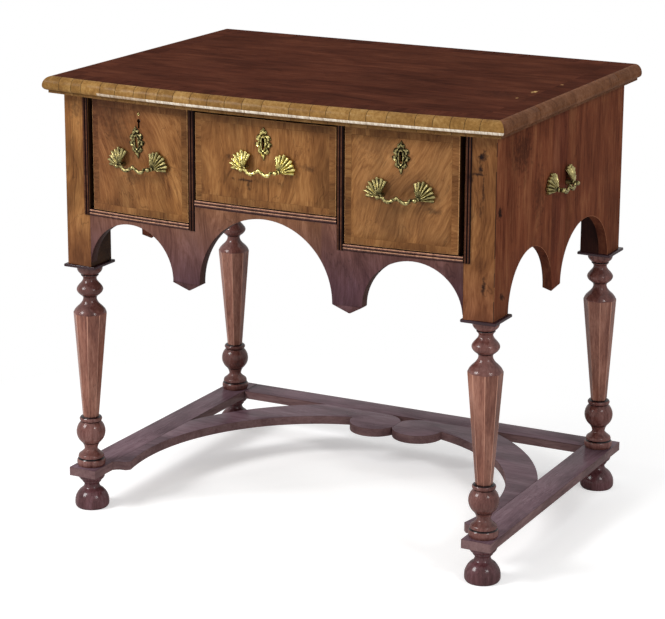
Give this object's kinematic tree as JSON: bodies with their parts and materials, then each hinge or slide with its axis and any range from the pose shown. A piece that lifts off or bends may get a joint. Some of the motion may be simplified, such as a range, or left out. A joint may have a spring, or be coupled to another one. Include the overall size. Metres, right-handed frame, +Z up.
{
  "type": "dressing table",
  "caption": "Bow-fronted dressing table: drawers with bail handles above an arched apron, on turned legs joined low down by a flat shaped stretcher, for sitting at and keeping small things.",
  "frame": {"origin": "on the floor under the middle of the table's bounding box", "axes": "+Z up; -Y is the front, towards which the drawers open; +X is to the right for someone looking at the front"},
  "size_m": [0.8096, 0.6086, 0.74],
  "materials": {
    "walnut_top": "polished dark walnut veneer",
    "walnut_case": "waxed reddish walnut",
    "walnut_front": "polished golden walnut veneer",
    "walnut_edge": "polished cross-grained walnut",
    "walnut_turned": "glossy reddish turned walnut",
    "oak": "unfinished oak",
    "brass": "old cast brass, lightly worn",
    "iron": "dark iron"
  },
  "bodies": {
    "case": {"top_board": "walnut_top", "top_moulding": "walnut_edge", "side_panel_left": "walnut_case", "side_panel_right": "walnut_case", "back_panel": "walnut_case", "front_stile_left": "walnut_front", "front_stile_right": "walnut_front", "partition_left": "walnut_front", "partition_right": "walnut_front", "apron_front": "walnut_front", "leg_cap_front_left": "walnut_turned", "leg_cap_front_right": "walnut_turned", "leg_cap_back_left": "walnut_turned", "leg_cap_back_right": "walnut_turned", "leg_front_left": "walnut_turned", "leg_front_right": "walnut_turned", "leg_back_left": "walnut_turned", "leg_back_right": "walnut_turned", "foot_front_left": "walnut_turned", "foot_front_right": "walnut_turned", "foot_back_left": "walnut_turned", "foot_back_right": "walnut_turned", "stretcher_side_left": "walnut_turned", "stretcher_side_right": "walnut_turned", "stretcher_back": "walnut_turned", "stretcher_front_left": "walnut_turned", "stretcher_front_right": "walnut_turned", "leaf_left_side_left": "brass", "leaf_left_side_right": "brass", "leaf_right_side_left": "brass", "leaf_right_side_right": "brass"},
    "drawer_left": {"drawer_front_left": "walnut_front", "drawer_frame_left": "oak", "drawer_bottom_left": "oak", "escutcheon_left": "brass", "leaf_left_left": "brass", "leaf_left_right": "brass", "lock_case_left": "iron"},
    "drawer_centre": {"drawer_front_centre": "walnut_front", "drawer_frame_centre": "oak", "drawer_bottom_centre": "oak", "escutcheon_centre": "brass", "leaf_centre_left": "brass", "leaf_centre_right": "brass", "lock_case_centre": "iron"},
    "drawer_right": {"drawer_front_right": "walnut_front", "drawer_frame_right": "oak", "drawer_bottom_right": "oak", "escutcheon_right": "brass", "leaf_right_left": "brass", "leaf_right_right": "brass", "lock_case_right": "iron"},
    "bail_left": {"bail_left": "brass"},
    "bail_centre": {"bail_centre": "brass"},
    "bail_right": {"bail_right": "brass"},
    "bail_left_side": {"bail_left_side": "brass"},
    "bail_right_side": {"bail_right_side": "brass"},
    "bolt_left": {"lock_bolt_left": "iron"},
    "bolt_centre": {"lock_bolt_centre": "iron"},
    "bolt_right": {"lock_bolt_right": "iron"}
  },
  "joints": [
    {"name": "drawer_left_slide", "type": "slide", "parent": "case", "child": "drawer_left", "axis": [0, -1, 0], "range_m": [0, 0.33]},
    {"name": "drawer_centre_slide", "type": "slide", "parent": "case", "child": "drawer_centre", "axis": [0, -1, 0], "range_m": [0, 0.33]},
    {"name": "drawer_right_slide", "type": "slide", "parent": "case", "child": "drawer_right", "axis": [0, -1, 0], "range_m": [0, 0.33]},
    {"name": "bail_left_swing", "type": "hinge", "parent": "drawer_left", "child": "bail_left", "pos_m": [-0.23232, -0.28363, 0.608], "axis": [-0.9974, 0.0723, 0], "range_deg": [-50, 90]},
    {"name": "bail_centre_swing", "type": "hinge", "parent": "drawer_centre", "child": "bail_centre", "pos_m": [0, -0.29205, 0.628], "axis": [-1, 0, 0], "range_deg": [-50, 90]},
    {"name": "bail_right_swing", "type": "hinge", "parent": "drawer_right", "child": "bail_right", "pos_m": [0.23232, -0.28363, 0.608], "axis": [-0.9974, -0.0723, 0], "range_deg": [-50, 90]},
    {"name": "bail_left_side_swing", "type": "hinge", "parent": "case", "child": "bail_left_side", "pos_m": [-0.3993, -0.00305, 0.59], "axis": [0, 1, 0], "range_deg": [-50, 90]},
    {"name": "bail_right_side_swing", "type": "hinge", "parent": "case", "child": "bail_right_side", "pos_m": [0.3993, -0.00305, 0.59], "axis": [0, -1, 0], "range_deg": [-50, 90]},
    {"name": "bolt_left_throw", "type": "slide", "parent": "drawer_left", "child": "bolt_left", "axis": [0, 0, 1], "range_m": [0, 0.012]},
    {"name": "bolt_centre_throw", "type": "slide", "parent": "drawer_centre", "child": "bolt_centre", "axis": [0, 0, 1], "range_m": [0, 0.012]},
    {"name": "bolt_right_throw", "type": "slide", "parent": "drawer_right", "child": "bolt_right", "axis": [0, 0, 1], "range_m": [0, 0.012]}
  ]
}
